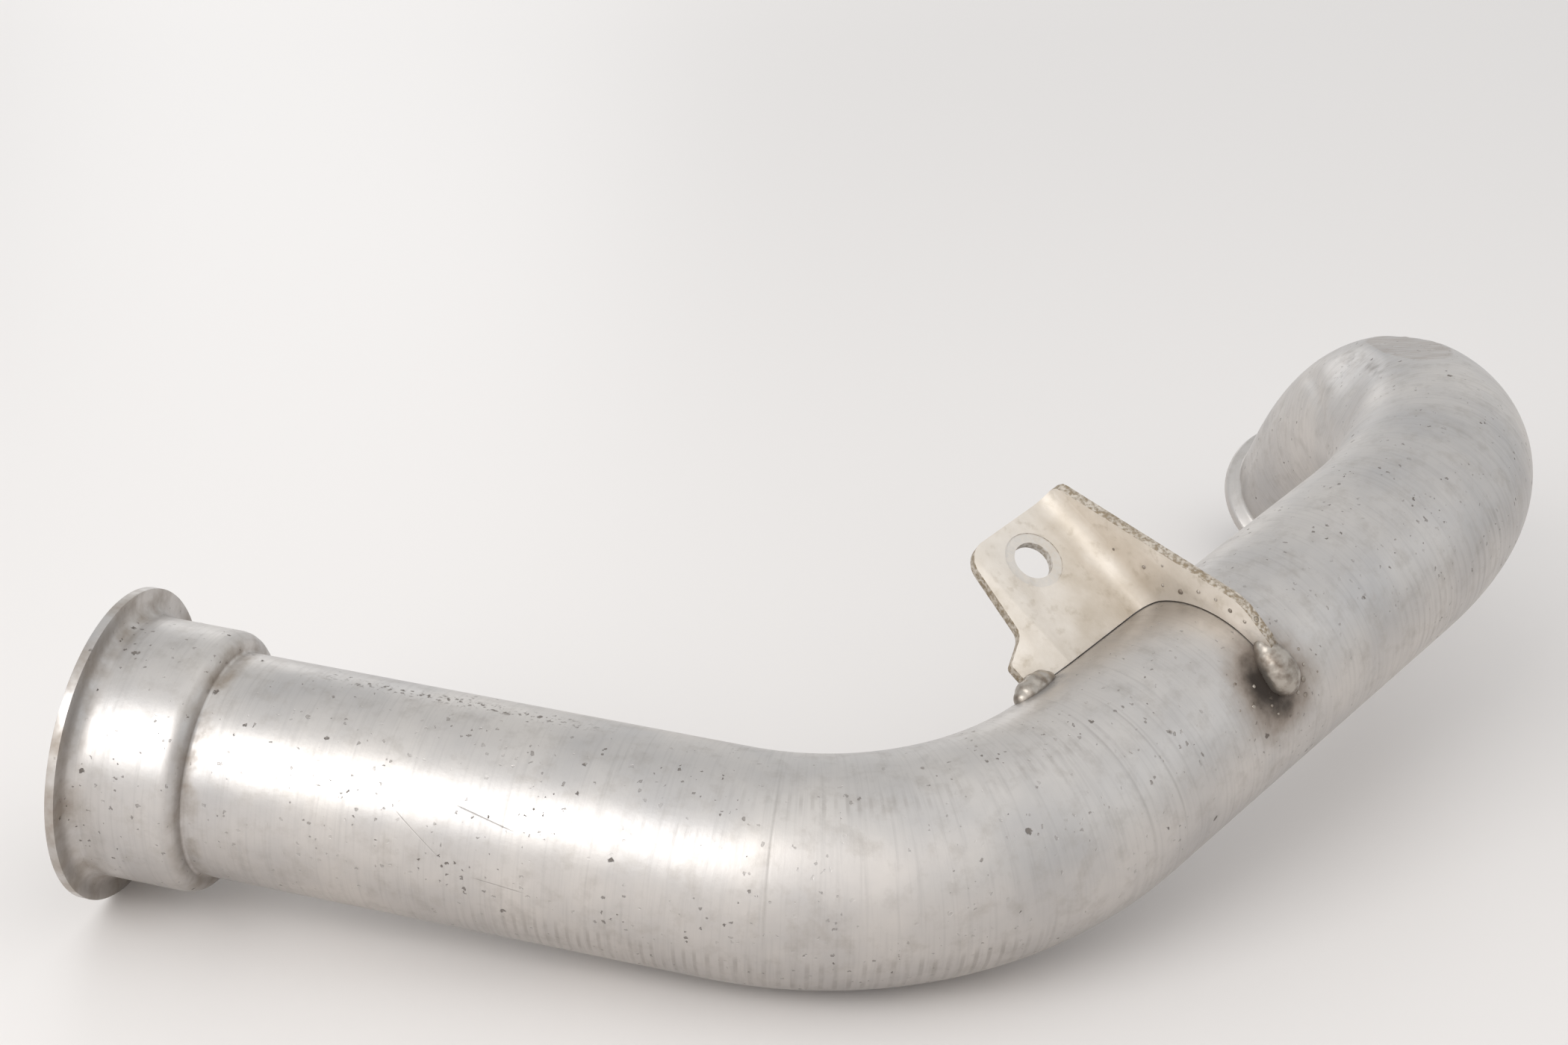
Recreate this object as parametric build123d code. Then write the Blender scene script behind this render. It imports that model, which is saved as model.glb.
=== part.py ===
import os
from math import cos, radians, sin

from build123d import *

os.makedirs("parts", exist_ok=True)

# Tube and the one bend radius used all along it
tube_dia = 50.0
tube_wall = 2.0
bend_radius = 84.5

# Route from the collar step to the beaded end: straight lengths, bend angles
# and the turn of each bend plane about the tube
first_leg = 114.0
first_bend = 59.6
first_turn = 17.3
second_leg = 111.5
second_bend = 51.5
second_turn = -29.4
third_bend = 52.8
third_turn = -63.9
end_leg = 10.3

# Expanded collar with the flared lip: the collar steps out from the tube and
# the lip stands out from the collar
collar_step = 4.3
collar_length = 23.9
collar_joint = 6.0
lip_width = 5.9
lip_bend = 3.0
lip_edge = 0.6
shoulder_bend = 3.5
groove_bend = 1.0

# Rolled hose bead near the far end
bead_rise = 3.5
bead_foot = 6.8
bead_crown = 3.0
bead_bend = 1.4
bead_end = 5.0

# Folded sheet bracket; lengths run along the second leg from the first bend,
# reaches and crest heights run outward from the tube's skin
sheet = 2.5
bracket_clock = 23.6
tab_height = 7.5
tab_reach = 33.2
tab_left = 11.8
tab_corner = 6.0
neck_reach = 11.0
neck_left = 8.4
neck_bend = 4.0
foot_left = 1.6
foot_top = 7.0
foot_low = 2.5
foot_corner = 1.5
edge_fold = 12.5
edge_run = 16.0
edge_fold_angle = 12.0
gusset_at = 40.0
gusset_bend = 5.0
gusset_far_rise = 4.7
gusset_near_height = 6.5
gusset_near_reach = 8.5
nose_reach = -4.6
nose_height = 4.0
nose_rake = 1.0
nose_bend = 3.0
crest_bend = 12.0
bolt_hole = 9.4
bolt_at = 24.8
bolt_edge = 10.4
coined_ring = 14.2
coined_depth = 0.3
saddle_gap = 0.25
overcut = 5.0

# Weld beads laid as overlapping drops
drop_radius = 4.2
front_weld_angles = (45.0, 49.5, 54.0, 58.0)
front_weld_lift = 0.6
rear_drop_radius = 3.4
rear_weld_places = (-2.0, 0.5, 3.0)
rear_weld_angle = -37.0
rear_weld_lift = 0.4
tab_angle = -54.0

# Pose in which the pipe lies on its lip, first bend and far end
lie_roll = 0.47
lie_pitch = 3.94

tube_r = tube_dia / 2
bore_r = tube_r - tube_wall
collar_r = tube_r + collar_step
lip_r = collar_r + lip_width
bead_r = tube_r + bead_rise
shoulder_r = min(shoulder_bend, 0.85 * collar_step)


def ring_section(place):
    return place * (Circle(tube_r) - Circle(bore_r))


def straight_run(at, along, across, length):
    place = Plane(origin=at, x_dir=across, z_dir=along)
    return extrude(ring_section(place), amount=length), at + along * length


def bent_run(at, along, across, angle, turn):
    side = along.cross(across)
    inward = across * cos(radians(turn)) + side * sin(radians(turn))
    hub = at + inward * bend_radius
    place = Plane(origin=at, x_dir=inward, z_dir=along)
    axle = Axis(hub, along.cross(inward))
    body = revolve(ring_section(place), axis=axle, revolution_arc=angle)
    c = cos(radians(angle))
    s = sin(radians(angle))
    end = at + inward * (bend_radius * (1 - c)) + along * (bend_radius * s)
    return body, end, along * c + inward * s, inward * c - along * s


def outline(corners):
    # A closed outline from its corners, each with the radius that rounds it
    points = [(x, y) for x, y, _ in corners]
    rounds = [r for _, _, r in corners]
    return make_face(FilletPolyline(*points, radius=rounds, close=True))


# Collar and lip, drawn from the axis outward with the mouth toward minus X
start = Vector(0, 0, 0)
mouth = -collar_length - tube_wall
collar = outline([
    (mouth, collar_r - tube_wall, lip_bend + tube_wall),
    (mouth, lip_r, lip_edge),
    (-collar_length, lip_r, lip_edge),
    (-collar_length, collar_r, lip_bend),
    (0, collar_r, shoulder_r),
    (0, tube_r, groove_bend / 2),
    (collar_joint, tube_r, 0),
    (collar_joint, bore_r, 0),
    (-tube_wall, bore_r, 0.45 * collar_step),
    (-tube_wall, collar_r - tube_wall, 0.45 * shoulder_r),
])
collar = revolve(collar, axis=Axis.X)

# Tube runs
along = Vector(1, 0, 0)
across = Vector(0, 1, 0)
at = start + along * collar_joint
leg_a, at = straight_run(at, along, across, first_leg - collar_joint)
arc_a, at, along, across = bent_run(at, along, across, first_bend, first_turn)
bracket_at = at
bracket_along = along
bracket_across = across
leg_b, at = straight_run(at, along, across, second_leg)
arc_b, at, along, across = bent_run(at, along, across, second_bend, second_turn)
arc_c, at, along, across = bent_run(at, along, across, third_bend, third_turn)

# Beaded end
tail = end_leg + bead_end
bead = outline([
    (0, bore_r, 0),
    (0, tube_r, 0),
    (end_leg - bead_foot / 2, tube_r, bead_bend),
    (end_leg - bead_crown / 2, bead_r, bead_bend),
    (end_leg + bead_crown / 2, bead_r, bead_bend),
    (end_leg + bead_foot / 2, tube_r, bead_bend),
    (tail, tube_r, 0),
    (tail, bore_r, 0),
    (end_leg + bead_crown / 2, bore_r, 0),
    (end_leg + bead_crown / 4, bead_r - tube_wall, 0),
    (end_leg - bead_crown / 4, bead_r - tube_wall, 0),
    (end_leg - bead_crown / 2, bore_r, 0),
])
bead_place = Plane(origin=at, x_dir=along, z_dir=across)
bead = bead_place * revolve(bead, axis=Axis.X)

# One tube, kept as its runs end to end
inlet_run = collar + leg_a
outlet_run = arc_c + bead
runs = [inlet_run, arc_a, leg_b, arc_b, outlet_run]
pipe = inlet_run + arc_a + leg_b + arc_b + outlet_run

# Bracket frame: X along the leg, Y outward along the tab, Z square to the tab
outward = bracket_across * cos(radians(bracket_clock))
outward += bracket_along.cross(bracket_across) * sin(radians(bracket_clock))
bracket_place = Plane(
    origin=bracket_at, x_dir=bracket_along, z_dir=bracket_along.cross(outward)
)
clear_tube = Plane.YZ * Circle(tube_r + saddle_gap)
clear_tube = extrude(clear_tube, amount=second_leg, both=True)

# Folded strip seen along the folds: edge strip, tab, gusset
tilt = edge_fold_angle
strip_x = edge_fold - edge_run * cos(radians(tilt))
strip_z = -edge_run * sin(radians(tilt))
gusset_out = gusset_at + sheet
tab_edge = tube_r + tab_reach
crest = tube_r + gusset_near_height
far_height = tab_height + gusset_far_rise
within = 0.6 * tube_r
strip = outline([
    (strip_x, tab_height + strip_z, 0),
    (edge_fold, tab_height, sheet),
    (gusset_at, tab_height, gusset_bend),
    (gusset_at, crest + overcut, 0),
    (gusset_out, crest + overcut, 0),
    (gusset_out, tab_height - sheet, gusset_bend + sheet),
    (edge_fold, tab_height - sheet, sheet),
    (strip_x, tab_height - sheet + strip_z, 0),
])
folds = Plane(origin=(0, tab_edge + overcut, 0), x_dir=(1, 0, 0), z_dir=(0, -1, 0)) * strip
folded = extrude(folds, amount=tab_edge + tube_dia)

# Tab outline looking square at it
tab = outline([
    (gusset_out + overcut, -tube_r, 0),
    (gusset_out + overcut, tab_edge, 0),
    (tab_left, tab_edge, tab_corner),
    (neck_left, tube_r + neck_reach, neck_bend),
    (foot_left, tube_r + foot_top, foot_corner),
    (foot_left, tube_r + foot_low, foot_corner),
    (foot_left + sheet, within, 0),
    (gusset_at - gusset_bend, within, 0),
    (gusset_at - gusset_bend, -tube_r, 0),
])
tab = extrude(tab, amount=crest + overcut, both=True)

# Gusset outline looking along the leg, running over the tube to the nose
slope = (crest - far_height) / (tab_edge - gusset_near_reach)
gusset = outline([
    (tab_edge + overcut, -tab_height, 0),
    (tab_edge + overcut, far_height - overcut * slope, 0),
    (gusset_near_reach, crest, crest_bend),
    (nose_reach, tube_r + nose_height, nose_bend),
    (nose_reach + nose_rake, 0.8 * tube_r, 0),
    (within, -tab_height, 0),
])
gusset = extrude(Plane.YZ * gusset, amount=gusset_out + overcut, both=True)

bracket = folded & tab & gusset
bracket -= clear_tube
bolt_place = Pos(bolt_at, tab_edge - bolt_edge, tab_height)
bracket -= bolt_place * Cylinder(bolt_hole / 2, 4 * sheet)
bracket -= bolt_place * Cylinder(coined_ring / 2, 2 * coined_depth)

# Weld beads in the bracket frame, then trimmed to the tube and the sheet


def drop(x, angle, lift, radius):
    turn = radians(angle - tab_angle)
    reach = tube_r + lift
    return Pos(x, reach * cos(turn), reach * sin(turn)) * Sphere(radius)


gusset_mid = gusset_at + sheet / 2
front_weld = Part()
for angle in front_weld_angles:
    front_weld += drop(gusset_mid, angle, front_weld_lift, drop_radius)

rear_weld = Part()
for place in rear_weld_places:
    rear_weld += drop(place, rear_weld_angle, rear_weld_lift, rear_drop_radius)

bracket = bracket_place.location * bracket
front_weld = bracket_place.location * front_weld - pipe - bracket
rear_weld = bracket_place.location * rear_weld - pipe - bracket


def largest(shape):
    return max(shape.solids(), key=lambda s: s.volume)


nodes = {
    "pipe": Compound([largest(run) for run in runs]),
    "bracket": largest(bracket),
    "front_weld": largest(front_weld),
    "rear_weld": largest(rear_weld),
}

# Lay the pipe down and set the middle of its footprint at the origin
lie = Rot(0, lie_pitch, 0) * Rot(lie_roll, 0, 0)
laid = {name: lie * shape for name, shape in nodes.items()}
box = Compound(list(laid.values())).bounding_box()
seat = Pos(-box.center().X, -box.center().Y, -box.min.Z)
for name, shape in laid.items():
    export_step(seat * shape, os.path.join("parts", name + ".step"))
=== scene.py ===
import math
from functools import partial

import bmesh
import bpy
from mathutils import Matrix, Vector


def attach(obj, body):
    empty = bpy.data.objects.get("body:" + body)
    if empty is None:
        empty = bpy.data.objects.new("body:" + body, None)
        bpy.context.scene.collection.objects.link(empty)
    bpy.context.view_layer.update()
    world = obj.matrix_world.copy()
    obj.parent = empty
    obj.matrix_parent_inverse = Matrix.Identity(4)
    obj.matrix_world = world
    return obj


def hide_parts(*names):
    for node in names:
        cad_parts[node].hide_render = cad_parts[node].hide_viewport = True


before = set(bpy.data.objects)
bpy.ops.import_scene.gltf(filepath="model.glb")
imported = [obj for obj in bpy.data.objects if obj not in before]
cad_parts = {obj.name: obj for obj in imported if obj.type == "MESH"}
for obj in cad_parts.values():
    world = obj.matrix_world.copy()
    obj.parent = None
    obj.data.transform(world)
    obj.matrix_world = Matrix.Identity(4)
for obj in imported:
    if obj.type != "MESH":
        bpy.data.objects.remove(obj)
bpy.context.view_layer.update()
scene = bpy.context.scene
mm = 0.001
print("frame loaded", sorted(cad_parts))


def toLinear(hexColour):
    parts = [int(hexColour[i:i + 2], 16) / 255 for i in (1, 3, 5)]
    linear = [c / 12.92 if c <= 0.04045 else ((c + 0.055) / 1.055) ** 2.4 for c in parts]
    return tuple(linear) + (1.0,)


def addNode(tree, kind, inputs=(), out=0, **settings):
    # one node with its settings and links; gives back the socket asked for
    node = tree.nodes.new("ShaderNode" + kind)
    for name, value in settings.items():
        setattr(node, name, value)
    for socket, value in inputs.items() if isinstance(inputs, dict) else enumerate(inputs):
        if isinstance(value, bpy.types.NodeSocket):
            tree.links.new(value, node.inputs[socket])
        else:
            node.inputs[socket].default_value = value
    return node if out is None else node.outputs[out]


def clearSelection():
    if bpy.context.mode != "OBJECT":
        bpy.ops.object.mode_set(mode="OBJECT")
    bpy.ops.object.select_all(action="DESELECT")


def takeUp(obj):
    clearSelection()
    obj.select_set(True)
    bpy.context.view_layer.objects.active = obj


def applyModifier(obj, kind, **settings):
    takeUp(obj)
    mod = obj.modifiers.new(kind.title(), kind)
    for name, value in settings.items():
        setattr(mod, name, value)
    bpy.ops.object.modifier_apply(modifier=mod.name)


# how the part lies: turned from its own axes, then set down
lay = dict(roll=0.47, pitch=3.94, seat=(-127.97677, -130.02101, 33.48015))
layDown = (Matrix.Translation(Vector(lay["seat"]) * mm)
           @ Matrix.Rotation(math.radians(lay["pitch"]), 4, "Y")
           @ Matrix.Rotation(math.radians(lay["roll"]), 4, "X"))

# the tube's route and profile in mm and degrees; the first leg starts where the collar's
# profile ends
pipe = dict(
    radius=25.0, wall=2.0, bendRadius=84.5, sides=120, step=3.2,
    route=[("leg", 112.0, 0), ("bend", 59.6, 17.3), ("leg", 111.5, 0),
           ("bend", 51.5, -29.4), ("bend", 52.8, -63.9)],
    collar=[(-23.9, 35.2, 0), (-23.9, 29.3, 3.0), (0, 29.3, 3.5), (0, 25.0, 0.7), (2.0, 25.0, 0)],
    bead=[(0, 25.0, 0), (6.9, 25.0, 1.4), (8.8, 28.5, 1.4), (11.8, 28.5, 1.4), (13.7, 25.0, 1.4),
          (15.3, 25.0, 0)],
    flatAt=(397, 95), flatDepth=2.1, flatReach=40,
    rimRound=0.55,
)
# dents pressed into the skin: places as (length along, angle round), then depth and width
dents = [
    dict(line=[(400, 56), (386, 40), (373, 22)], depth=1.7, width=9.0),
    dict(line=[(420, 44), (411, 35), (402, 24), (394, 13), (384, 4)], depth=0.9, width=2.2),
    dict(line=[(434, 31), (452, 22), (472, 13)], depth=0.45, width=1.6),
    dict(line=[(124.5, 105), (124.5, 195)], depth=0.05, width=0.9),
    dict(line=[(194.2, 105), (194.2, 170)], depth=0.06, width=0.9),
    dict(line=[(202.2, 125), (202.2, 175)], depth=0.05, width=0.9),
    dict(line=[(300, 116), (304, 131)], depth=0.35, width=6.0),
    dict(line=[(31, 205), (46, 196)], depth=0.25, width=7.0),
    dict(line=[(-19, 120), (-19, 215)], depth=0.3, width=1.6),
]


def roundProfile(corners, steps=5):
    # a run of points with each corner swept by its own radius
    points = []
    for i, (x, r, rad) in enumerate(corners):
        here = Vector((x, r))
        if rad == 0:
            points.append(here)
            continue
        back = (Vector(corners[i - 1][:2]) - here).normalized()
        ahead = (Vector(corners[i + 1][:2]) - here).normalized()
        half = back.angle(ahead) / 2
        middle = here + (back + ahead).normalized() * rad / math.sin(half)
        first = here + back * rad / math.tan(half) - middle
        last = here + ahead * rad / math.tan(half) - middle
        sweep = math.atan2(first.x * last.y - first.y * last.x, first.dot(last))
        for k in range(steps + 1):
            points.append(middle + Matrix.Rotation(sweep * k / steps, 2) @ first)
    return points


def fillLong(points, longest):
    # adds points where two lie too far apart
    out = [points[0]]
    for p in points[1:]:
        n = max(1, math.ceil((p - out[-1]).length / longest))
        a = out[-1]
        out += [a.lerp(p, k / n) for k in range(1, n + 1)]
    return out


class Walker:
    # where the last ring of the tube is, and which way it faces
    def __init__(self):
        self.at = Vector((0, 0, 0))
        self.along = Vector((1, 0, 0))
        self.across = Vector((0, 1, 0))
        self.roll = 0.0
        self.length = 0.0
        self.rings = []
        self.stops = []

    def note(self, mesh):
        bm = bmesh.from_edit_mesh(mesh)
        layer = bm.verts.layers.int["ring"]
        for v in bm.verts:
            if v.select:
                v[layer] = len(self.rings)
        self.rings.append((self.at.copy(), self.along.copy(), self.across.copy(),
                           self.roll, self.length))
        bmesh.update_edit_mesh(mesh, loop_triangles=False)


def growTube():
    clearSelection()
    walk = Walker()
    profile = fillLong(roundProfile(pipe["collar"]), 2.4)
    x, r = profile[0]
    bpy.ops.mesh.primitive_circle_add(vertices=pipe["sides"], radius=r * mm,
                                      location=(x * mm, 0, 0), rotation=(0, math.pi / 2, 0))
    skin = bpy.context.active_object
    skin.name = "pipeSkin"
    bpy.ops.object.transform_apply(location=True, rotation=True, scale=True)
    skin.data.attributes.new("ring", "INT", "POINT")
    bpy.ops.object.mode_set(mode="EDIT")
    bpy.ops.mesh.select_all(action="SELECT")
    walk.at = Vector((x, 0, 0))
    walk.length = x
    walk.note(skin.data)

    def lathe(points, start, base):
        last = points[0]
        for p in points[1:]:
            move = walk.along * (p.x - last.x) * mm
            bpy.ops.mesh.extrude_edges_move(TRANSFORM_OT_translate={"value": move})
            walk.at = start + walk.along * p.x
            k = p.y / last.y
            bpy.ops.transform.resize(value=(k, k, k), center_override=walk.at * mm)
            walk.length = base + p.x
            walk.note(skin.data)
            last = p

    lathe(profile, Vector((0, 0, 0)), 0.0)

    for kind, amount, turn in pipe["route"]:
        if kind == "leg":
            n = round(amount / pipe["step"])
            for k in range(n):
                move = walk.along * amount / n
                bpy.ops.mesh.extrude_edges_move(TRANSFORM_OT_translate={"value": move * mm})
                walk.at += move
                walk.length += amount / n
                walk.note(skin.data)
            continue
        side = walk.along.cross(walk.across)
        inward = walk.across * math.cos(math.radians(turn)) + side * math.sin(math.radians(turn))
        walk.roll += turn
        walk.across = inward
        hub = walk.at + inward * pipe["bendRadius"]
        axle = walk.along.cross(inward)
        arc = pipe["bendRadius"] * math.radians(amount)
        n = round(arc / pipe["step"] * 1.15)
        step = math.radians(amount) / n
        for k in range(n):
            bpy.ops.mesh.spin(steps=1, angle=-step, center=hub * mm, axis=axle)
            turnBy = Matrix.Rotation(step, 3, axle)
            walk.at = hub + turnBy @ (walk.at - hub)
            walk.along = turnBy @ walk.along
            walk.across = turnBy @ walk.across
            walk.length += arc / n
            walk.note(skin.data)
        walk.stops.append((walk.at.copy(), walk.along.copy(), walk.across.copy()))

    lathe(fillLong(roundProfile(pipe["bead"], 4), 1.6), walk.at.copy(), walk.length)
    bpy.ops.mesh.select_all(action="SELECT")
    bpy.ops.mesh.remove_doubles(threshold=0.00001)
    bpy.ops.mesh.normals_make_consistent(inside=False)
    bpy.ops.object.mode_set(mode="OBJECT")
    return skin, walk


def skinPlaces(skin, walk):
    # length along and turn round (in degrees) of every point
    tags = [0] * len(skin.data.vertices)
    skin.data.attributes["ring"].data.foreach_get("value", tags)
    places = []
    for v, tag in zip(skin.data.vertices, tags):
        at, along, across, roll, length = walk.rings[tag]
        out = v.co / mm - at
        angle = math.degrees(math.atan2(out.dot(along.cross(across)), out.dot(across))) + roll
        places.append((length, angle % 360))
    return places


def layUv(skin, places):
    # route map: metres along by turns round, with the seam underneath
    uv = skin.data.uv_layers.new(name="route")
    for face in skin.data.polygons:
        corners = [places[skin.data.loops[i].vertex_index] for i in face.loop_indices]
        turns = [((angle + 90) % 360) / 360 for length, angle in corners]
        high = max(turns)
        for i, (length, angle), t in zip(face.loop_indices, corners, turns):
            uv.data[i].uv = (length * mm, t + 1 if high - t > 0.5 else t)


def pressDents(skin, walk, places):
    tags = [0] * len(skin.data.vertices)
    skin.data.attributes["ring"].data.foreach_get("value", tags)
    for dent in dents:
        line = [Vector((s, a * math.radians(pipe["radius"]))) for s, a in dent["line"]]
        far = dent["width"] * 3
        low = min(p.x for p in line) - far
        high = max(p.x for p in line) + far
        for v, tag, (s, a) in zip(skin.data.vertices, tags, places):
            here = Vector((s, a * math.radians(pipe["radius"])))
            if not low < s < high:
                continue
            near = far
            for p, q in zip(line, line[1:]):
                t = max(0, min(1, (here - p).dot(q - p) / (q - p).length_squared))
                near = min(near, (here - p.lerp(q, t)).length)
            if near < far:
                inward = (walk.rings[tag][0] - v.co / mm).normalized()
                v.co += inward * dent["depth"] * math.exp(-(near / dent["width"]) ** 2) * mm
    # the rubbed flat on top of the elbow
    flatAt = min(walk.rings, key=lambda ring: abs(ring[4] - pipe["flatAt"][0]))
    at, along, across, roll, length = flatAt
    angle = math.radians(pipe["flatAt"][1] - roll)
    up = across * math.cos(angle) + along.cross(across) * math.sin(angle)
    for v in skin.data.vertices:
        over = (v.co / mm - at).dot(up) - (pipe["radius"] - pipe["flatDepth"])
        if over > 0 and (v.co / mm - at).length < pipe["flatReach"]:
            v.co -= up * over * mm
    return at + up * (pipe["radius"] - pipe["flatDepth"]), up


pipeSkin, route = growTube()
print("tube grown", len(pipeSkin.data.vertices), "points,", round(route.length, 1), "mm long")
places = skinPlaces(pipeSkin, route)
layUv(pipeSkin, places)
flatPoint, flatUp = pressDents(pipeSkin, route, places)
applyModifier(pipeSkin, "SOLIDIFY", thickness=pipe["wall"] * mm, offset=-1.0, use_even_offset=True,
              use_rim=True)
applyModifier(pipeSkin, "BEVEL", width=pipe["rimRound"] * mm, segments=3, limit_method="ANGLE",
              angle_limit=math.radians(50))
pipeSkin.data.transform(layDown)
takeUp(pipeSkin)
bpy.ops.object.shade_smooth()
print("pipe walled", len(pipeSkin.data.polygons), "faces")

# welds: overlapping drops run together
welds = dict(
    clock=23.6, tabAngle=-54.0,
    front=[(40.9, 39.5, 1.4, 2.2), (40.9, 42.5, 1.3, 2.9), (40.8, 46, 1.0, 3.7),
           (40.8, 49.5, 0.9, 4.2), (40.8, 53, 0.8, 4.4), (40.9, 56.5, 0.6, 4.3),
           (41.2, 59.5, 0.3, 3.6), (43.0, 57, 0.0, 3.2)],
    rear=[(-3.6, -37, 0.2, 2.4), (-1.8, -37, 0.4, 3.2), (0.6, -37, 0.5, 3.4),
          (2.8, -37.5, 0.4, 3.2), (4.6, -38, 0.2, 2.3)],
    frontMiddle=(41.2, 53, 0.5), rearMiddle=(0.5, -37, 0.4), sootMiddle=(38.5, 57, 0.0),
    grain=0.32, smoothing=4, lump=2.4, lumpLevel=0.6, ripple=0.18, rootDepth=0.8,
)
legAt, legAlong, legAcross = route.stops[0]
legSide = legAlong.cross(legAcross)
clock = math.radians(welds["clock"])
tabOut = legAcross * math.cos(clock) + legSide * math.sin(clock)
tabUp = legAlong.cross(tabOut)


# bracket: the sheet's own form with its far corner and edges broken
plate = dict(
    edgeBreak=0.35, cornerHub=(41.25, 55.0, 10.0), cornerRound=3.2, cornerSweep=68.8,
    cornerCuts=6, foldEnd=35.0, gussetFrom=14.0, gussetFace=39.95, boltAt=(24.8, 47.8, 7.2),
)
plateFrame = layDown @ Matrix((
    (legAlong.x, tabOut.x, tabUp.x, legAt.x * mm), (legAlong.y, tabOut.y, tabUp.y, legAt.y * mm),
    (legAlong.z, tabOut.z, tabUp.z, legAt.z * mm), (0, 0, 0, 1)))
bracketPlate = bpy.data.objects.new("bracketPlate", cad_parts["bracket"].data.copy())
scene.collection.objects.link(bracketPlate)
bracketPlate.data.transform(plateFrame.inverted())
takeUp(bracketPlate)
bpy.ops.object.mode_set(mode="EDIT")
bpy.ops.mesh.select_all(action="SELECT")
bpy.ops.mesh.remove_doubles(threshold=0.000002)
bpy.ops.mesh.dissolve_limited(angle_limit=math.radians(0.5))
# the corner is rounded by cuts along its arc
for k in range(1, plate["cornerCuts"] + 1):
    turn = math.radians(plate["cornerSweep"] * k / (plate["cornerCuts"] + 1))
    facing = Vector((0, math.cos(turn), math.sin(turn)))
    spot = Vector(plate["cornerHub"]) + facing * plate["cornerRound"]
    bpy.ops.mesh.select_all(action="SELECT")
    bpy.ops.mesh.bisect(plane_co=spot * mm, plane_no=facing, use_fill=True, clear_outer=True)
bpy.ops.object.mode_set(mode="OBJECT")
# sheared faces are told from rolled ones by the way they face
sheared = bracketPlate.data.attributes.new("sheared", "FLOAT", "FACE")
for face in bracketPlate.data.polygons:
    onEnd = abs(face.normal.y) > 0.2
    onSide = abs(face.normal.x) > 0.7 and face.center.x < plate["foldEnd"] * mm
    onCrest = abs(face.normal.x) < 0.5 and face.center.z > plate["gussetFrom"] * mm
    sheared.data[face.index].value = 1.0 if onEnd or onSide or onCrest else 0.0
applyModifier(bracketPlate, "BEVEL", width=plate["edgeBreak"] * mm, segments=2,
              limit_method="ANGLE", angle_limit=math.radians(40))
bracketPlate.data.transform(plateFrame)
takeUp(bracketPlate)
bpy.ops.object.shade_smooth_by_angle(angle=math.radians(32))
print("bracket edged", len(bracketPlate.data.polygons), "faces")


def weldPoint(x, angle, lift):
    turn = math.radians(angle - welds["tabAngle"])
    reach = pipe["radius"] + lift
    return legAt + legAlong * x + (tabOut * math.cos(turn) + tabUp * math.sin(turn)) * reach


def layWeld(name, drops):
    clearSelection()
    made = []
    for x, angle, lift, radius in drops:
        bpy.ops.mesh.primitive_uv_sphere_add(segments=24, ring_count=14, radius=radius * mm,
                                             location=weldPoint(x, angle, lift) * mm)
        made.append(bpy.context.active_object)
    clearSelection()
    for obj in made:
        obj.select_set(True)
    bpy.context.view_layer.objects.active = made[0]
    bpy.ops.object.join()
    weld = bpy.context.active_object
    weld.name = name
    bpy.ops.object.transform_apply(location=True, rotation=True, scale=True)
    applyModifier(weld, "REMESH", mode="VOXEL", voxel_size=welds["grain"] * mm)
    applyModifier(weld, "SMOOTH", iterations=welds["smoothing"])
    cloud = bpy.data.textures.new(name + "Lumps", "CLOUDS")
    cloud.noise_scale = welds["lump"] * mm
    applyModifier(weld, "DISPLACE", texture=cloud, strength=welds["ripple"] * mm,
                  mid_level=welds["lumpLevel"])
    # the root of the weld stays in the tube's wall
    for v in weld.data.vertices:
        p = v.co / mm - legAt
        if p.dot(legAlong) < 0:
            continue
        rad = p - legAlong * p.dot(legAlong)
        short = pipe["radius"] - welds["rootDepth"] - rad.length
        if short > 0:
            v.co += rad.normalized() * short * mm
    weld.data.transform(layDown)
    takeUp(weld)
    bpy.ops.object.shade_smooth()
    return weld


frontBead = layWeld("frontWeldBead", welds["front"])
rearBead = layWeld("rearWeldBead", welds["rear"])
print("welds laid", len(frontBead.data.polygons), len(rearBead.data.polygons), "faces")

# spatter: one flattened drop, copied about the front weld and on the gusset
spatter = dict(
    size=0.55, flatness=0.55,
    onTube=[(33, 52, 0.8), (30, 60, 1.0), (35, 66, 0.7), (44, 70, 0.9), (47, 66, 1.3),
            (49, 60, 0.8), (50, 52, 0.7), (29, 45, 0.6), (36, 72, 0.6), (46, 74, 1.1),
            (26, 57, 0.5), (52, 68, 0.5)],
    onGusset=[(20, 19.5, 1.2), (17, 24, 0.9), (13, 26.5, 0.8), (9, 27.5, 1.0), (24, 16.5, 0.7),
              (5, 28.5, 0.8), (30, 16, 0.9), (27, 21, 0.6), (38, 12.5, 0.6)],
)
clearSelection()
bpy.ops.mesh.primitive_uv_sphere_add(segments=14, ring_count=8, radius=spatter["size"] * mm)
seed = bpy.context.active_object
bpy.ops.object.mode_set(mode="EDIT")
bpy.ops.mesh.select_all(action="SELECT")
bpy.ops.transform.resize(value=(1, 1, spatter["flatness"]))
bpy.ops.object.mode_set(mode="OBJECT")
drops = []
for x, angle, grow in spatter["onTube"]:
    foot = weldPoint(x, angle, 0.0)
    rest = legAt + legAlong * x
    drops.append((foot, foot - rest, grow))
for y, z, grow in spatter["onGusset"]:
    foot = legAt + legAlong * plate["gussetFace"] + tabOut * y + tabUp * z
    drops.append((foot, -legAlong, grow))
copies = [seed]
for foot, facing, grow in drops:
    copy = bpy.data.objects.new("drop", seed.data.copy())
    scene.collection.objects.link(copy)
    stand = facing.to_track_quat("Z", "Y").to_matrix().to_4x4()
    copy.data.transform(layDown @ Matrix.Translation(foot * mm) @ stand @ Matrix.Scale(grow, 4))
    copies.append(copy)
bpy.data.objects.remove(copies.pop(0))
clearSelection()
for copy in copies:
    copy.select_set(True)
bpy.context.view_layer.objects.active = copies[0]
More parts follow.
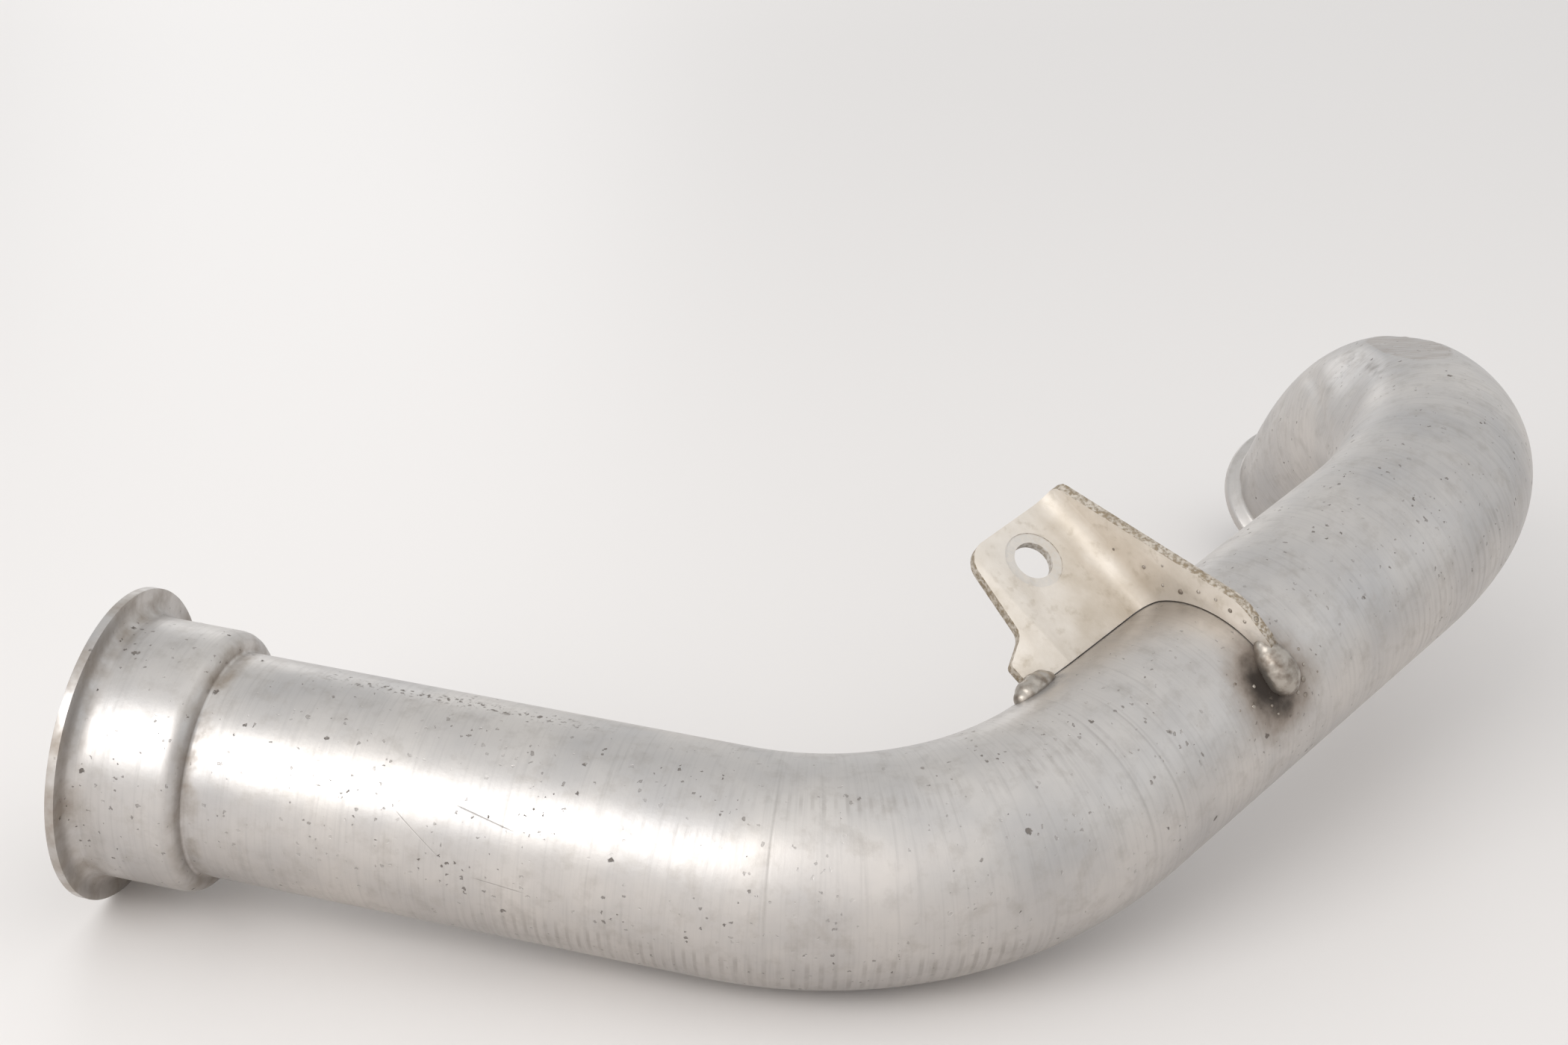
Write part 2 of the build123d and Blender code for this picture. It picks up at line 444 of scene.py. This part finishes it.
bpy.ops.object.join()
spatterDrops = bpy.context.active_object
spatterDrops.name = "weldSpatter"
bpy.ops.object.shade_smooth()
print("spatter laid", len(drops))

frontCentre = layDown @ (weldPoint(*welds["frontMiddle"]) * mm)
rearCentre = layDown @ (weldPoint(*welds["rearMiddle"]) * mm)
sootCentre = layDown @ (weldPoint(*welds["sootMiddle"]) * mm)
boltCentre = plateFrame @ (Vector(plate["boltAt"]) * mm)
flatCentre = layDown @ (flatPoint * mm)
flatNormal = layDown.to_3x3() @ flatUp


def newMaterial(name):
    material = bpy.data.materials.new(name)
    material.use_nodes = True
    tree = material.node_tree
    tree.nodes.clear()
    return material, tree


def cloudy(tree, place, size, low, high, detail=4.0):
    # lumps of a size in mm, 0 below one level and 1 above the other
    lumps = addNode(tree, "TexNoise", {"Vector": place, "Scale": 1 / (size * mm), "Detail": detail,
                                       "Roughness": 0.58})
    return addNode(tree, "MapRange", [lumps, low, high])


def band(tree, value, low, high, soft):
    # 1 between two levels, fading over a soft edge
    rise = addNode(tree, "MapRange", [value, low - soft, low + soft])
    return addNode(tree, "MapRange", [value, high - soft, high + soft, rise, 0.0])


def nearTo(tree, place, centre, far, close, lumps):
    # 1 close to a point and 0 far from it (mm), with a ragged edge
    away = addNode(tree, "VectorMath", [place, centre], "Value", operation="DISTANCE")
    ragged = addNode(tree, "Math", [lumps, 9 * mm, away], operation="MULTIPLY_ADD")
    return addNode(tree, "MapRange", [ragged, far * mm, close * mm],
                   interpolation_type="SMOOTHSTEP")


def paint(tree, under, mask, amount, hexColour):
    # lays a colour over what is there, as far as the mask reaches
    cover = addNode(tree, "Math", [mask, amount], operation="MULTIPLY")
    return addNode(tree, "Mix", {0: cover, 6: under, 7: toLinear(hexColour)}, 2, data_type="RGBA")


def drawnTube():
    # drawn aluminium tube, left as bent: satin, faint lines round it, pits, rubbed spots and
    # shop dirt
    material, tree = newMaterial("drawnAluminiumTube")
    add = partial(addNode, tree)
    place = add("TexCoord", out="Object")
    routeMap = add("SeparateXYZ", [add("UVMap", uv_map="route")], None)
    along = routeMap.outputs["X"]
    turn = routeMap.outputs["Y"]

    # lines round the tube, drawn 0.9 mm apart so that they show
    angle = add("Math", [turn, 2 * math.pi], operation="MULTIPLY")
    drawn = add("CombineXYZ", [add("Math", [along, 1 / (0.9 * mm)], operation="MULTIPLY"),
                               add("Math", [angle], operation="COSINE"),
                               add("Math", [angle], operation="SINE")])
    streak = add("TexNoise", {"Vector": drawn, "Scale": 1.0, "Detail": 3.0, "Roughness": 0.6})
    mottle = add("TexNoise", {"Vector": place, "Scale": 1 / (5 * mm), "Detail": 5.0,
                              "Roughness": 0.65})
    fine = add("TexNoise", {"Vector": place, "Scale": 1 / (0.9 * mm), "Detail": 3.0,
                            "Roughness": 0.6})
    ragged = add("TexNoise", {"Vector": place, "Scale": 1 / (6 * mm), "Detail": 4.0,
                              "Roughness": 0.58})

    # pits: one cell in several holds one, of its own size, and the small ones crowd on top
    shake = add("TexNoise", {"Vector": place, "Scale": 1 / (0.9 * mm)}, "Color")
    shake = add("VectorMath", {0: shake, "Scale": 1.6 * mm}, operation="SCALE")
    shaken = add("VectorMath", [place, shake], operation="ADD")
    onTop = band(tree, turn, 172 / 360, 208 / 360, 0.04)
    crowd = add("Math", [cloudy(tree, place, 22, 0.36, 0.6, 2.0), onTop], operation="MAXIMUM")
    crowd = add("Math", [crowd, cloudy(tree, place, 9, 0.4, 0.6, 2.0)], operation="MULTIPLY")
    pits = 0.0
    for cell, share, size, amount in ((1.6, 0.58, 0.2, crowd), (4.6, 0.83, 0.10, 1.0),
                                      (11.0, 0.80, 0.075, 1.0)):
        cells = add("TexVoronoi", {"Vector": shaken, "Scale": 1 / (cell * mm)}, None)
        draw = add("SeparateColor", [cells.outputs["Color"]], None)
        chosen = add("Math", [draw.outputs[0], share], operation="GREATER_THAN")
        chosen = add("Math", [chosen, amount], operation="MULTIPLY")
        reach = add("Math", [draw.outputs[1], size, size * 0.3], operation="MULTIPLY_ADD")
        edge = add("Math", [cells.outputs["Distance"], reach], operation="SUBTRACT")
        hole = add("MapRange", [edge, 0.03, -0.02, 0.0, chosen])
        pits = add("Math", [pits, hole], operation="MAXIMUM")

    # rows of short die marks 2.3 mm apart: from and to along, from and to round, strength
    wave = add("Math", [along, 2 * math.pi / (2.3 * mm)], operation="MULTIPLY")
    ticks = add("MapRange", [add("Math", [wave], operation="SINE"), 0.2, 0.8])
    rows = 0.0
    for start, end, low, high, strength in ((66, 172, 199, 226, 1.0), (116, 196, 111, 121, 0.7),
                                            (80, 122, 136, 146, 0.45), (288, 356, 158, 205, 0.55)):
        ahead = band(tree, along, start * mm, end * mm, 8 * mm)
        around = band(tree, turn, (low + 90) / 360, (high + 90) / 360, 0.008)
        row = add("Math", [ahead, around], operation="MULTIPLY")
        row = add("Math", [row, strength], operation="MULTIPLY")
        rows = add("Math", [rows, row], operation="MAXIMUM")
    patchy = cloudy(tree, place, 7, 0.36, 0.6, 3.0)
    patchy = add("Math", [patchy, 0.85, 0.15], operation="MULTIPLY_ADD")
    chatter = add("Math", [ticks, rows], operation="MULTIPLY")
    chatter = add("Math", [chatter, patchy], operation="MULTIPLY")

    # ring marks left by the bending tool, on the side that it held
    rings = 0.0
    for s in (124.5, 194.2, 202.2):
        ring = band(tree, along, (s - 0.25) * mm, (s + 0.25) * mm, 0.2 * mm)
        rings = add("Math", [rings, ring], operation="MAXIMUM")
    rings = add("Math", [rings, band(tree, turn, 190 / 360, 275 / 360, 0.05)], operation="MULTIPLY")

    # slanting scratches on the first leg: place along and round, slant, half length
    scratch = 0.0
    for s, a, slant, half in ((52.5, 164, 1.75, 4.5), (66, 150, 0.55, 6.0), (71, 182, 0.25, 5.0)):
        climb = add("Math", [along, -slant / 360 / mm, slant * s / 360], operation="MULTIPLY_ADD")
        level = add("Math", [turn, climb], operation="ADD")
        level = add("Math", [level, (a + 90) / 360], operation="SUBTRACT")
        ahead = band(tree, along, (s - half) * mm, (s + half) * mm, 1.0 * mm)
        around = band(tree, level, -0.0006, 0.0006, 0.0006)
        line = add("Math", [around, ahead], operation="MULTIPLY")
        scratch = add("Math", [scratch, line], operation="MAXIMUM")

    # dirt: specks on top of the first leg, stains in the collar's corners, a scuff on the elbow
    specks = add("Math", [band(tree, along, 26 * mm, 80 * mm, 9 * mm),
                          band(tree, turn, 171 / 360, 179 / 360, 0.006)], operation="MULTIPLY")
    specks = add("Math", [specks, cloudy(tree, place, 1.3, 0.56, 0.64, 2.0)], operation="MULTIPLY")
    stain = add("Math", [band(tree, along, -1.2 * mm, 3.5 * mm, 1.2 * mm),
                         cloudy(tree, place, 7, 0.42, 0.68)], operation="MULTIPLY")
    lipStain = add("Math", [band(tree, along, -26 * mm, -21 * mm, 1.5 * mm),
                            cloudy(tree, place, 8, 0.4, 0.7)], operation="MULTIPLY")
    stain = add("Math", [stain, lipStain], operation="MAXIMUM")
    scuff = add("Math", [band(tree, along, 376 * mm, 413 * mm, 5 * mm),
                         band(tree, turn, 148 / 360, 156 / 360, 0.01)], operation="MULTIPLY")
    scuff = add("Math", [scuff, cloudy(tree, place, 4.5, 0.45, 0.7, 5.0)], operation="MULTIPLY")

    # soot about the welds, brown further out
    haze = nearTo(tree, place, sootCentre, 22.0, 11.0, ragged)
    soot = nearTo(tree, place, sootCentre, 15.0, 8.0, ragged)
    rearSoot = nearTo(tree, place, rearCentre, 12.5, 7.3, ragged)
    rearSoot = add("Math", [rearSoot, 0.6], operation="MULTIPLY")
    soot = add("Math", [soot, rearSoot], operation="MAXIMUM")

    # the rubbed flat on the elbow, with lines the way it was rubbed
    fromFlat = add("VectorMath", [place, flatCentre], operation="SUBTRACT")
    above = add("VectorMath", [fromFlat, flatNormal], "Value", operation="DOT_PRODUCT")
    spread = add("VectorMath", [fromFlat], "Value", operation="LENGTH")
    flat = add("MapRange", [above, -0.16 * mm, -0.04 * mm])
    flat = add("MapRange", [spread, 22 * mm, 26 * mm, flat, 0.0])
    rubbed = add("Mapping", {"Vector": place, "Scale": (0.12, 1.0, 1.0)})
    rub = add("TexNoise", {"Vector": rubbed, "Scale": 1 / (0.9 * mm), "Detail": 3.0})
    rub = add("MapRange", [rub, 0.35, 0.65])
    rub = add("Math", [flat, rub], operation="MULTIPLY")

    # colour: pale grey metal with warm and cool drifts, then the marks and the dirt
    drift = cloudy(tree, place, 34, 0.35, 0.65, 5.0)
    colour = paint(tree, toLinear("#cec9c4"), drift, 1.0, "#bbb8b6")
    colour = paint(tree, colour, add("MapRange", [mottle, 0.5, 0.75]), 0.5, "#a8a29b")
    colour = paint(tree, colour, add("MapRange", [streak, 0.5, 0.8]), 0.22, "#8f8d8b")
    colour = paint(tree, colour, rub, 0.75, "#a0948a")
    colour = paint(tree, colour, chatter, 0.34, "#8d8680")
    colour = paint(tree, colour, rings, 0.22, "#7d7974")
    colour = paint(tree, colour, stain, 0.6, "#7d6c58")
    colour = paint(tree, colour, haze, 0.7, "#7a6753")
    colour = paint(tree, colour, soot, 0.95, "#241b14")
    colour = paint(tree, colour, scratch, 0.45, "#7f7a76")
    dark = add("Math", [pits, specks], operation="MAXIMUM")
    faint = add("Math", [scuff, 0.55], operation="MULTIPLY")
    dark = add("Math", [dark, faint], operation="MAXIMUM")
    colour = paint(tree, colour, dark, 0.8, "#51483f")

    # dirt is dull and hides the metal
    veil = add("Math", [add("Math", [stain, haze], operation="MAXIMUM"), 0.5], operation="MULTIPLY")
    dirty = add("Math", [add("Math", [dark, soot], operation="MAXIMUM"), veil], operation="MAXIMUM")
    rough = add("Math", [streak, 0.16, 0.27], operation="MULTIPLY_ADD")
    rough = add("Math", [mottle, 0.10, rough], operation="MULTIPLY_ADD")
    rough = add("Math", [dirty, 0.30, rough], operation="MULTIPLY_ADD", use_clamp=True)
    metal = add("Math", [dirty, -0.75, 1.0], operation="MULTIPLY_ADD", use_clamp=True)

    # heights in mm
    height = 0.0
    for mark, rise in ((streak, 0.014), (fine, 0.010), (mottle, 0.05), (pits, -0.25),
                       (chatter, -0.022), (rings, -0.03), (scratch, -0.05), (rub, -0.012)):
        height = add("Math", [mark, rise, height], operation="MULTIPLY_ADD")
    bump = add("Bump", {"Height": height, "Distance": 1.0 * mm, "Strength": 1.0})
    shader = add("BsdfPrincipled", {"Base Color": colour, "Metallic": metal, "Roughness": rough,
                                    "Normal": bump})
    add("OutputMaterial", [shader], None)
    return material


def stainedSheet():
    # cut and folded aluminium sheet, never cleaned: dull warm grey, spatter rings, brown cut edges
    material, tree = newMaterial("stainedAluminiumSheet")
    add = partial(addNode, tree)
    place = add("TexCoord", out="Object")
    cut = add("Attribute", out="Fac", attribute_name="sheared")
    stain = cloudy(tree, place, 16, 0.32, 0.68, 5.0)
    blotch = add("TexNoise", {"Vector": place, "Scale": 1 / (3.5 * mm), "Detail": 5.0,
                              "Roughness": 0.6})
    grit = add("TexNoise", {"Vector": place, "Scale": 1 / (0.7 * mm), "Detail": 3.0,
                            "Roughness": 0.6})
    crumb = cloudy(tree, place, 1.1, 0.42, 0.6)

    # weld spatter burnt in as small rings
    cells = add("TexVoronoi", {"Vector": place, "Scale": 1 / (6.5 * mm)}, None)
    draw = add("SeparateColor", [cells.outputs["Color"]], None)
    chosen = add("Math", [draw.outputs[0], 0.72], operation="GREATER_THAN")
    reach = add("Math", [draw.outputs[1], 0.08, 0.07], operation="MULTIPLY_ADD")
    edge = add("Math", [cells.outputs["Distance"], reach], operation="SUBTRACT")
    spot = add("MapRange", [add("Math", [edge], operation="ABSOLUTE"), 0.026, 0.0, 0.0, chosen])

    # the pressed ring round the hole is bare, and soot lies by the weld
    fromBolt = add("VectorMath", [place, boltCentre], "Value", operation="DISTANCE")
    bare = add("MapRange", [fromBolt, 7.3 * mm, 6.9 * mm])
    thin = add("Math", [crumb, -0.3, 0.6], operation="MULTIPLY_ADD")
    bare = add("Math", [bare, thin], operation="MULTIPLY")
    soot = nearTo(tree, place, frontCentre, 17.0, 9.0, blotch)
    broken = add("Math", [crumb, 0.6, 0.35], operation="MULTIPLY_ADD")
    broken = add("Math", [cut, broken], operation="MULTIPLY")

    colour = paint(tree, toLinear("#e2dbd2"), stain, 1.0, "#c8beb0")
    colour = paint(tree, colour, add("MapRange", [blotch, 0.55, 0.8]), 0.5, "#98896f")
    colour = paint(tree, colour, broken, 1.0, "#85755d")
    colour = paint(tree, colour, bare, 1.0, "#cfccc8")
    colour = paint(tree, colour, spot, 0.7, "#5f5445")
    colour = paint(tree, colour, soot, 0.65, "#4a3f34")
    dull = add("Math", [add("Math", [spot, soot], operation="MAXIMUM"), cut], operation="MAXIMUM")
    metal = add("Math", [dull, -0.5, 0.6], operation="MULTIPLY_ADD", use_clamp=True)
    rough = add("Math", [stain, 0.14, 0.5], operation="MULTIPLY_ADD")

    height = 0.0
    for mark, rise in ((grit, 0.03), (blotch, 0.08), (spot, 0.12), (broken, 0.25)):
        height = add("Math", [mark, rise, height], operation="MULTIPLY_ADD")
    bump = add("Bump", {"Height": height, "Distance": 1.0 * mm, "Strength": 1.0})
    shader = add("BsdfPrincipled", {"Base Color": colour, "Metallic": metal, "Roughness": rough,
                                    "Normal": bump})
    add("OutputMaterial", [shader], None)
    return material


def weldMetal():
    # aluminium weld as laid: smooth run-together lumps, tanned by the heat
    material, tree = newMaterial("aluminiumWeld")
    add = partial(addNode, tree)
    place = add("TexCoord", out="Object")
    lumps = add("TexNoise", {"Vector": place, "Scale": 1 / (2.6 * mm), "Detail": 4.0})
    colour = paint(tree, toLinear("#ada69d"), add("MapRange", [lumps, 0.42, 0.7]), 1.0, "#776c61")
    rough = add("MapRange", [lumps, 0.4, 0.7, 0.3, 0.48])
    bump = add("Bump", {"Height": lumps, "Distance": 0.15 * mm, "Strength": 0.7})
    shader = add("BsdfPrincipled", {"Base Color": colour, "Metallic": 0.85, "Roughness": rough,
                                    "Normal": bump})
    add("OutputMaterial", [shader], None)
    return material


def dress(piece, material, slotName, *nodes):
    piece.data.materials.clear()
    piece.data.materials.append(material)
    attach(piece, "root")
    if nodes:
        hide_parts(*nodes)


weld = weldMetal()
dress(pipeSkin, drawnTube(), "tube_aluminium", "pipe")
dress(bracketPlate, stainedSheet(), "sheet_aluminium", "bracket")
dress(frontBead, weld, "weld_metal", "front_weld")
dress(rearBead, weld, "weld_metal", "rear_weld")
dress(spatterDrops, weld, "weld_metal")
print("pieces dressed")

# studio: pale floor, soft boxes, grey room
studio = dict(floorSize=40.0, floorColour="#e4e0dd", floorRough=0.42,
              roomColour="#eaebec", backColour="#e8e6e3")
clearSelection()
bpy.ops.mesh.primitive_plane_add(size=studio["floorSize"], location=(0, 0, 0))
floor = bpy.context.active_object
floor.name = "studioFloor"
bpy.ops.object.transform_apply(location=True, rotation=True, scale=True)
floorLook, tree = newMaterial("paintedFloor")
shader = addNode(tree, "BsdfPrincipled", {"Base Color": toLinear(studio["floorColour"]),
                                          "Roughness": studio["floorRough"]})
addNode(tree, "OutputMaterial", [shader], None)
floor.data.materials.append(floorLook)

world = bpy.data.worlds.new("studioRoom")
world.use_nodes = True
scene.world = world
tree = world.node_tree
tree.nodes.clear()
fromCamera = addNode(tree, "LightPath", out="Is Camera Ray")
seen = paint(tree, toLinear(studio["roomColour"]), fromCamera, 1.0, studio["backColour"])
glow = addNode(tree, "Background", {"Color": seen, "Strength": 1.0})
addNode(tree, "OutputWorld", [glow], None)

lamps = [
    dict(name="softBoxLeft", at=(-0.55, -1.0, 0.75), aim=(0, 0, 0.05), size=0.85, power=7.0,
         colour="#ffffff"),
    dict(name="softBoxFront", at=(0.3, -1.5, 0.8), aim=(0, -0.1, 0.03), size=1.5, power=3.2,
         colour="#fff6f0"),
    dict(name="softBoxTop", at=(0.15, -0.35, 1.3), aim=(0, 0, 0.05), size=1.4, power=1.3,
         colour="#ffffff"),
    dict(name="softBoxRight", at=(1.2, -0.1, 0.8), aim=(0, 0, 0.05), size=0.7, power=0.4,
         colour="#e3ebf5"),
    dict(name="backWash", at=(-0.95, 1.75, 0.55), aim=(-0.95, 1.75, 0), size=0.7, power=4.2,
         colour="#ffffff"),
]
for lamp in lamps:
    light = bpy.data.lights.new(lamp["name"], "AREA")
    light.shape = "SQUARE"
    light.size = lamp["size"]
    light.energy = lamp["power"]
    light.color = toLinear(lamp["colour"])[:3]
    obj = bpy.data.objects.new(lamp["name"], light)
    obj.location = lamp["at"]
    facing = Vector(lamp["aim"]) - Vector(lamp["at"])
    obj.rotation_euler = facing.to_track_quat("-Z", "Y").to_euler()
    scene.collection.objects.link(obj)

view = dict(at=(91.12, -566.78, 288.60), turn=(67.683, -1.27, 12.785), lens=55.384)
camera = bpy.data.cameras.new("photoCamera")
camera.lens = view["lens"]
camera.sensor_width = 36.0
camera.clip_end = 100.0
eye = bpy.data.objects.new("photoCamera", camera)
eye.location = Vector(view["at"]) * mm
eye.rotation_euler = [math.radians(a) for a in view["turn"]]
scene.collection.objects.link(eye)
scene.camera = eye
scene.view_settings.view_transform = "Standard"
print("studio set")
